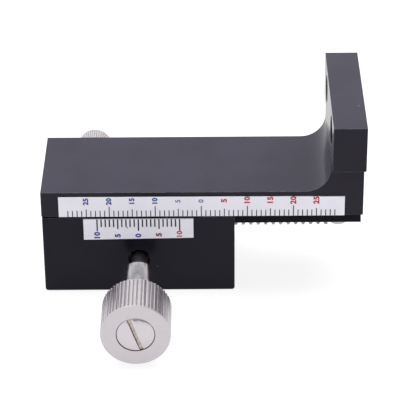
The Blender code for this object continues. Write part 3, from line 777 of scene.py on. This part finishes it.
stripPiece("ruler_strip", "rulerStrip", "carriage", ruler["trims"])
stripPiece("vernier_strip", "vernierStrip", "base", vernier["trims"])
inked(markRow(ruler), "rulerMarks", blackInk, "carriage")
inked(markRow(vernier) + [markAt(vernier, *vernier["blot"])], "vernierMarks", blackInk, "base")
figureRow(ruler, (-25, -20, -15, -10), blueInk, "rulerFiguresBlue", "carriage", bold=0.075)
figureRow(ruler, (-5, 0), blueInk, "rulerFiguresThin", "carriage", bold=0.025)
figureRow(ruler, (5, 10, 15, 20, 25), redInk, "rulerFiguresRed", "carriage", bold=0.08,
          rise=0.08, swell=1.10)
figureRow(vernier, (-10, -5, 0), blueInk, "vernierFiguresBlue", "base", bold=0.08, rise=-0.12)
figureRow(vernier, (5,), crimsonInk, "vernierFigureFive", "base", bold=0.09, rise=0.05)
figureRow(vernier, (10,), redInk, "vernierFigureTen", "base", bold=0.06, rise=0.10, swell=0.94)
print("scales made")

# Drive knob: a plain hub, then the knurled rim with the recess for its screw

knob = {
    "hubEnd": -19.4,  # world Y of each shoulder
    "rimBack": -31.9,
    "front": -42.3,
    "seat": -40.15,
    "hubRadius": 3.75,
    "hubEdge": 0.2,
    "hubFillet": ((0.25, 0), (0.07, 0.07), (0, 0.25)),  # out from the hub, and away from the rim
    "hubLook": 0.1,  # how far from the rim the hub's nickel, painted lighter, begins
    "radius": 7.4,
    "recessRadius": 4.1,
    "recessEdge": 0.06,
    "boreRadius": 1.6,
    "ribs": 53,
    "ribShares": (1.0, 0.85, 0.14, 0.02, 0.0, 0.0, 0.0, 0.02, 0.14, 0.85),  # of the groove's depth
    "ribStart": 0.2,  # turn of the ribs, in ribs
    "grooveDepth": 0.30,
    "frontChamfer": 0.20,  # plain, ahead of the ribs
    "frontSlope": 0.8,  # its length, as a share of its width
    "frontStep": 0.02,  # how much smaller than the ribs it begins
    "runOut": 0.18,  # length over which the grooves come up to the chamfer
    "backChamfer": 0.2,
    "backSlope": 1.3,  # its width, as a share of its length
}
grooveShadeSpan = {"from": 0.6, "to": 1.0}  # share of a groove's depth where the painted shade begins, and how far in it ends
grooveIndex = 1  # the painted groove shade's place in the materials of the knob and the lock screw


def knurl(count, shares, depth, start=0.0):
    def shape(angle, along):
        step = (angle / (2 * math.pi) * count + start) % 1 * len(shares)
        return depth * shares[round(step) % len(shares)]
    return shape


# painted shade: the faces deep in a knurl's grooves take the dark groove material
def darkenGrooves(piece, radius, depth, low, high):
    for face in piece.data.polygons:
        inwards = radius - math.hypot(face.center.x, face.center.y) / mm
        if grooveShadeSpan["from"] * depth < inwards < grooveShadeSpan["to"] and low < face.center.z / mm < high:
            face.material_index = grooveIndex


def driveKnob():
    # Z is 0 at the rim's back while it is shaped
    front = knob["rimBack"] - knob["front"]
    seat = knob["rimBack"] - knob["seat"]
    hub = knob["rimBack"] - knob["hubEnd"]
    chamfer, back = knob["frontChamfer"], knob["backChamfer"]
    plain = knob["radius"] - knob["frontStep"]
    shoulder = front - knob["frontSlope"] * chamfer
    ribs = knurl(knob["ribs"], knob["ribShares"], knob["grooveDepth"], knob["ribStart"])
    rings = [
        (knob["boreRadius"], hub), (knob["boreRadius"], seat), (knob["recessRadius"], seat),
        (knob["recessRadius"], front - knob["recessEdge"]),
        (knob["recessRadius"] + knob["recessEdge"], front),
        (plain - chamfer, front), (plain, shoulder),
        (knob["radius"], shoulder - knob["runOut"], ribs), (knob["radius"], back, ribs),
        (knob["radius"] - knob["backSlope"] * back, 0),
        *((knob["hubRadius"] + out, -away) for out, away in knob["hubFillet"]),
        (knob["hubRadius"], hub + knob["hubEdge"]), (knob["hubRadius"] - knob["hubEdge"], hub),
        (knob["boreRadius"], hub),
    ]
    piece = turned("driveKnob", knob["ribs"] * len(knob["ribShares"]), rings, closed=False)
    dress(piece, knobNickel, grooveShade, rimNickel, hubNickelPaintedLight)
    rimIndex, hubIndex = 2, 3
    smoothShade(piece, turnedSmooth)
    # the hub takes the nickel painted lighter, a painted reflection
    for face in piece.data.polygons:
        if face.center.z / mm < -knob["hubLook"]:
            face.material_index = hubIndex
        elif face.center.z / mm < front - chamfer:
            face.material_index = rimIndex
    darkenGrooves(piece, knob["radius"], knob["grooveDepth"], back, front - chamfer)
    layAlongY(piece, 0, knob["rimBack"], pinionHeight)
    place(piece, "pinion", "satin_nickel", "drive_knob")


driveKnob()
print("drive knob made")

# Knob screw: a shallow dome with a driver slot

knobScrew = {
    "steps": 96,
    "head": 4.0,
    "front": -42.65,  # world Y of each shoulder
    "floor": -40.25,
    "tip": -34.15,
    "stem": 0.8,
    "rim": (0.06, 0.07),  # width and length of the chamfer round its head
    "crown": 0.50,  # how far the dome falls to its rim
    "crownPower": 3.0,
    "slotWidth": 0.8,
    "slotDepth": 0.8,
    "slotLean": 19,
    "slotEdge": 0.05,
    "cutStep": 0.4,  # flat cuts, this far apart and this many each way, let the dome bend
    "cuts": 9,
    "cutGap": 0.2,  # none lies nearer to the slot's walls
}


def slotted(piece, width, depth, top, length, edge):
    # the slot is cut with a long box, and its edges are broken
    deselectAll()
    bpy.ops.mesh.primitive_cube_add(size=1, location=(0, 0, top * mm))
    cutter = bpy.context.object
    cutter.dimensions = (width * mm, length * mm, 2 * depth * mm)
    settle(cutter)
    dress(cutter, *piece.data.materials)
    # the slot's walls take the piece's second material, painted shade on the knob screw
    wallIndex, floorIndex = 1, 2
    for face in cutter.data.polygons:
        face.material_index = floorIndex if face.normal.z < -facing else wallIndex
    pickOnly(piece)
    bpy.ops.object.modifier_add(type="BOOLEAN")
    boolean = piece.modifiers[-1]
    boolean.operation = "DIFFERENCE"
    boolean.object = cutter
    bpy.ops.object.modifier_apply(modifier=boolean.name)
    bpy.data.objects.remove(cutter)
    roundEdges(piece, edge, limit=40)


def splitAcross(piece, cuts, normal):
    enterEdit(piece)
    for cut in cuts:
        bpy.ops.mesh.select_all(action="SELECT")
        bpy.ops.mesh.bisect(plane_co=tuple(cut * mm * n for n in normal), plane_no=normal)
    leaveEdit()


def knobScrewPiece():
    top, floor, tip = -knobScrew["front"], -knobScrew["floor"], -knobScrew["tip"]
    head, stem = knobScrew["head"], knobScrew["stem"]
    width, depth = knobScrew["slotWidth"], knobScrew["slotDepth"]
    inwards, down = knobScrew["rim"]
    rings = [(stem, tip), (stem, floor), (head, floor), (head, top - down), (head - inwards, top)]
    piece = turned("knobScrew", knobScrew["steps"], rings, flatTop=True)
    dress(piece, domeNickel, grooveShade, slotFloor)
    length = 2.5 * head  # past both sides of the head
    slotted(piece, width, depth, top, length, knobScrew["slotEdge"])
    count = knobScrew["cuts"]
    cuts = [knobScrew["cutStep"] * step for step in range(-count, count + 1)]
    splitAcross(piece, cuts, (0, 1, 0))
    splitAcross(piece, [cut for cut in cuts if abs(cut) > 0.5 * width + knobScrew["cutGap"]],
                (1, 0, 0))
    for vertex in piece.data.vertices:
        if vertex.co.z > (top - 0.5 * depth) * mm:  # the slot's floor stays flat
            share = math.hypot(vertex.co.x, vertex.co.y) / (head * mm)
            vertex.co.z -= knobScrew["crown"] * mm * share ** knobScrew["crownPower"]
    smoothShade(piece, turnedSmooth)
    layAlongY(piece, 0, 0, pinionHeight)
    lean = Matrix.Rotation(math.radians(knobScrew["slotLean"]), 4, "Z")
    piece.matrix_world = piece.matrix_world @ lean
    place(piece, "pinion", "satin_nickel", "knob_screw")


knobScrewPiece()
print("knob screw made")

# Lock screw: thread, neck and knurled head

lock = {
    "neckStart": 13.5,  # world Y of each shoulder
    "headStart": 16.7,
    "end": 25.7,
    "thread": 1.5,
    "threadDepth": 0.27,
    "threadSlope": 1.25,
    "threadCrest": 0.1,
    "threadRings": 40,
    "threadGap": 0.1,  # plain, between the thread and either end of it
    "tipChamfer": 0.35,
    "pitch": 0.5,
    "neck": 2.2,
    "neckChamfer": 0.15,
    "neckFillet": 0.1,
    "head": 3.7,
    "ribs": 44,
    "ribShares": (1.0, 0.8, 0.1, 0.0, 0.0, 0.0, 0.1, 0.8),
    "grooveDepth": 0.11,
    "chamfer": 0.4,
    "dimple": 1.5,
    "dimpleDepth": 0.15,
}


def threadShape(angle, along):
    turn = (along / lock["pitch"] + angle / (2 * math.pi)) % 1
    flank = lock["threadSlope"] * (1 - abs(2 * turn - 1)) - lock["threadCrest"]
    return lock["threadDepth"] * min(1, max(0, flank))


def lockScrew():
    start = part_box("lock_screw")[0].y / mm
    thread, neck, head = lock["thread"], lock["neck"], lock["head"]
    neckStart, first, last = lock["neckStart"], lock["headStart"], lock["end"]
    chamfer, small, fillet = lock["chamfer"], lock["neckChamfer"], lock["neckFillet"]
    ribs = knurl(lock["ribs"], lock["ribShares"], lock["grooveDepth"])
    rings = [(thread - lock["tipChamfer"], start), (thread, start + lock["tipChamfer"])]
    threadStart = start + lock["tipChamfer"] + lock["threadGap"]
    threadEnd = neckStart - lock["threadGap"]
    for step in range(lock["threadRings"] + 1):
        along = threadStart + (threadEnd - threadStart) * step / lock["threadRings"]
        rings.append((thread, along, threadShape))
    rings += [
        (thread - lock["threadDepth"], neckStart), (neck - small, neckStart),
        (neck, neckStart + small), (neck, first - fillet), (neck + fillet, first),
        (head - chamfer, first), (head, first + chamfer, ribs), (head, last - chamfer, ribs),
        (head - chamfer, last), (lock["dimple"], last),
        (lock["dimple"] - lock["dimpleDepth"], last - lock["dimpleDepth"]),
    ]
    piece = turned("lockScrew", lock["ribs"] * len(lock["ribShares"]), rings)
    dress(piece, lockNickel, grooveShade)
    smoothShade(piece, turnedSmooth)
    darkenGrooves(piece, head, lock["grooveDepth"], first + chamfer, last - chamfer)
    layAlongY(piece, lockAxis[0], 0, lockAxis[1], front=False)
    place(piece, "lock_screw", "satin_nickel", "lock_screw")


lockScrew()
print("lock screw made")

# Small pieces that keep their CAD form, with their edges broken

smallPieces = {  # each node's new name, body, slot, material and edge
    "rack": ("rackBar", "carriage", "bright_steel", machinedSteel, 0.06),
    "rack_screw_left": ("rackScrewLeft", "carriage", "satin_nickel", screwNickel, 0.05),
    "rack_screw_right": ("rackScrewRight", "carriage", "satin_nickel", screwNickel, 0.05),
    "bore_plug": ("borePlug", "base", "black_anodised", anodisedEdges, 0.08),
    "gib": ("gibBar", "base", "bright_steel", machinedSteel, 0.08),
    "gib_screw_left": ("gibScrewLeft", "base", "dark_steel", blackenedSteel, 0.05),
    "gib_screw_middle": ("gibScrewMiddle", "base", "dark_steel", blackenedSteel, 0.05),
    "gib_screw_right": ("gibScrewRight", "base", "dark_steel", blackenedSteel, 0.05),
}
smallEdges = {"segments": 1, "bend": 38}
rack = {"drop": 0.08}  # how far it comes down under the dovetail
rackScrew = {
    "part": 0.8,  # this much of the head, from below,
    "drop": 0.5,  # comes down this far,
    "turn": 75,  # and its slot is turned from the CAD's
}


def changeRackScrew(piece, low, high):
    lowerPoints(piece, rackScrew["drop"], lambda point: point.z < low.z + rackScrew["part"] * mm)
    axis = (low + high) / 2
    turn = Matrix.Rotation(math.radians(rackScrew["turn"]), 4, "Z")
    piece.data.transform(Matrix.Translation(axis) @ turn @ Matrix.Translation(-axis))


for nodeName, (pieceName, body, slot, material, edge) in smallPieces.items():
    piece = cleanCopy(nodeName, pieceName)
    if nodeName == "rack":
        lowerPoints(piece, rack["drop"], lambda point: True)
    elif nodeName.startswith("rack_screw"):
        changeRackScrew(piece, *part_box(nodeName))
    dress(piece, material)
    roundEdges(piece, edge, smallEdges["segments"], smallEdges["bend"])
    smoothShade(piece)
    place(piece, body, slot, nodeName)
print("small pieces made")

# Pieces inside, which stay CAD solids

keptNodes = {
    "pinion_shaft": shaftSteel,
    "thrust_washer_front": machinedSteel,
    "thrust_washer_rear": machinedSteel,
    "wave_washer": machinedSteel,
    "shaft_clip": blackenedSteel,
    "bush_screw": blackenedSteel,
    "front_bush": sinteredBronze,
    "rear_bush": sinteredBronze,
    "lock_pad": turnedBrass,
}
for nodeName, material in keptNodes.items():
    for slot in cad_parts[nodeName].material_slots:
        slot.material = material
print("kept nodes dressed")

# Floor, light and camera, in metres

studio = {
    "around": 0.45,  # world light on the object
    "overhead": (0.0, 0.25, 0.84, 1.5, 0.7, 19.0),  # a soft box's place, width, depth and power
    "front": (0.05, -0.75, 0.55, 1.0, 0.6, 0.4),
    "aim": (0.01, 0, 0.015),
    "floorSize": 6,
    "floorZ": -0.0002,
    "floorSeen": (0.20, 0.86),  # the camera sees this share of the light on it, and this glow
    "floorMirrored": (0.10, 0.83),
    "floorLit": (0.80, 0.0),
    "dimTowards": (0.30, -0.945, 0.13),  # the room behind the camera, which metal mirrors dimmer
    "dimEdge": (0.74, 0.94),  # cosines to that direction where this begins and is full
    "dim": 0.2,  # what is left of it there
}
view = {
    "place": (0.016252, -0.401619, 0.251361),
    "turn": (59.5938, 0.4925, 0.118),  # degrees
    "sensor": 36,
    "lens": 187.4457,
    "clip": (0.01, 20),
}


def seenDirectly(nodes, links):
    # 1 for what the camera sees, and 1 for what a glossy face mirrors; both are 0 for plain light
    path = nodes.new("ShaderNodeLightPath")
    mirrored = combine(nodes, links, "MAXIMUM", path.outputs["Is Glossy Ray"],
                       path.outputs["Is Transmission Ray"])
    return path.outputs["Is Camera Ray"], mirrored


def paper(nodes, links, share, glow):
    lit = nodes.new("ShaderNodeBsdfDiffuse")
    lit.inputs["Color"].default_value = (share, share, share, 1)
    light = nodes.new("ShaderNodeEmission")
    light.inputs["Strength"].default_value = glow
    both = nodes.new("ShaderNodeAddShader")
    links.new(lit.outputs[0], both.inputs[0])
    links.new(light.outputs[0], both.inputs[1])
    return both.outputs[0]


def addFloor():
    deselectAll()
    bpy.ops.mesh.primitive_plane_add(size=studio["floorSize"], location=(0, 0, studio["floorZ"]))
    floor = bpy.context.object
    floor.name = "floor"
    material, nodes, links = newMaterial("floorPaper")
    nodes.remove(nodes["Principled BSDF"])
    seen, mirrored = seenDirectly(nodes, links)
    surface = paper(nodes, links, *studio["floorLit"])
    for share, kind in ((mirrored, "floorMirrored"), (seen, "floorSeen")):
        mix = nodes.new("ShaderNodeMixShader")
        links.new(share, mix.inputs[0])
        links.new(surface, mix.inputs[1])
        links.new(paper(nodes, links, *studio[kind]), mix.inputs[2])
        surface = mix.outputs[0]
    links.new(surface, nodes["Material Output"].inputs["Surface"])
    floor.data.materials.append(material)


def addWorld():
    world = bpy.data.worlds.new("studioWorld")
    bpy.context.scene.world = world
    world.use_nodes = True
    nodes = world.node_tree.nodes
    links = world.node_tree.links
    background = nodes["Background"]
    background.inputs["Color"].default_value = (1, 1, 1, 1)
    direction = nodes.new("ShaderNodeTexCoord")
    towards = nodes.new("ShaderNodeVectorMath")
    towards.operation = "DOT_PRODUCT"
    towards.inputs[1].default_value = studio["dimTowards"]
    links.new(direction.outputs["Generated"], towards.inputs[0])
    room = spread(nodes, links, towards.outputs["Value"], *studio["dimEdge"], 0, 1 - studio["dim"])
    seen, mirrored = seenDirectly(nodes, links)
    direct = combine(nodes, links, "MAXIMUM", seen, mirrored)
    strength = spread(nodes, links, direct, 0, 1, studio["around"], 1)
    strength = combine(nodes, links, "SUBTRACT", strength,
                       combine(nodes, links, "MULTIPLY", room, mirrored))
    links.new(strength, background.inputs["Strength"])


def addSoftbox(name, x, y, z, width, depth, power):
    deselectAll()
    bpy.ops.object.light_add(type="AREA", location=(x, y, z))
    lamp = bpy.context.object
    lamp.name = name
    lamp.data.shape = "RECTANGLE"
    lamp.data.size = width
    lamp.data.size_y = depth
    lamp.data.energy = power
    lamp.visible_camera = False
    aim = Vector(studio["aim"]) - lamp.location
    lamp.rotation_euler = aim.to_track_quat("-Z", "Y").to_euler()


def addCamera():
    deselectAll()
    bpy.ops.object.camera_add(location=view["place"])
    camera = bpy.context.object
    camera.rotation_euler = [math.radians(angle) for angle in view["turn"]]
    camera.data.sensor_width = view["sensor"]
    camera.data.lens = view["lens"]
    camera.data.clip_start, camera.data.clip_end = view["clip"]
    bpy.context.scene.camera = camera


addFloor()
addWorld()
addSoftbox("overheadBox", *studio["overhead"])
addSoftbox("frontBox", *studio["front"])
addCamera()
bpy.context.scene.view_settings.view_transform = "Standard"
print("studio made")

deselectAll()
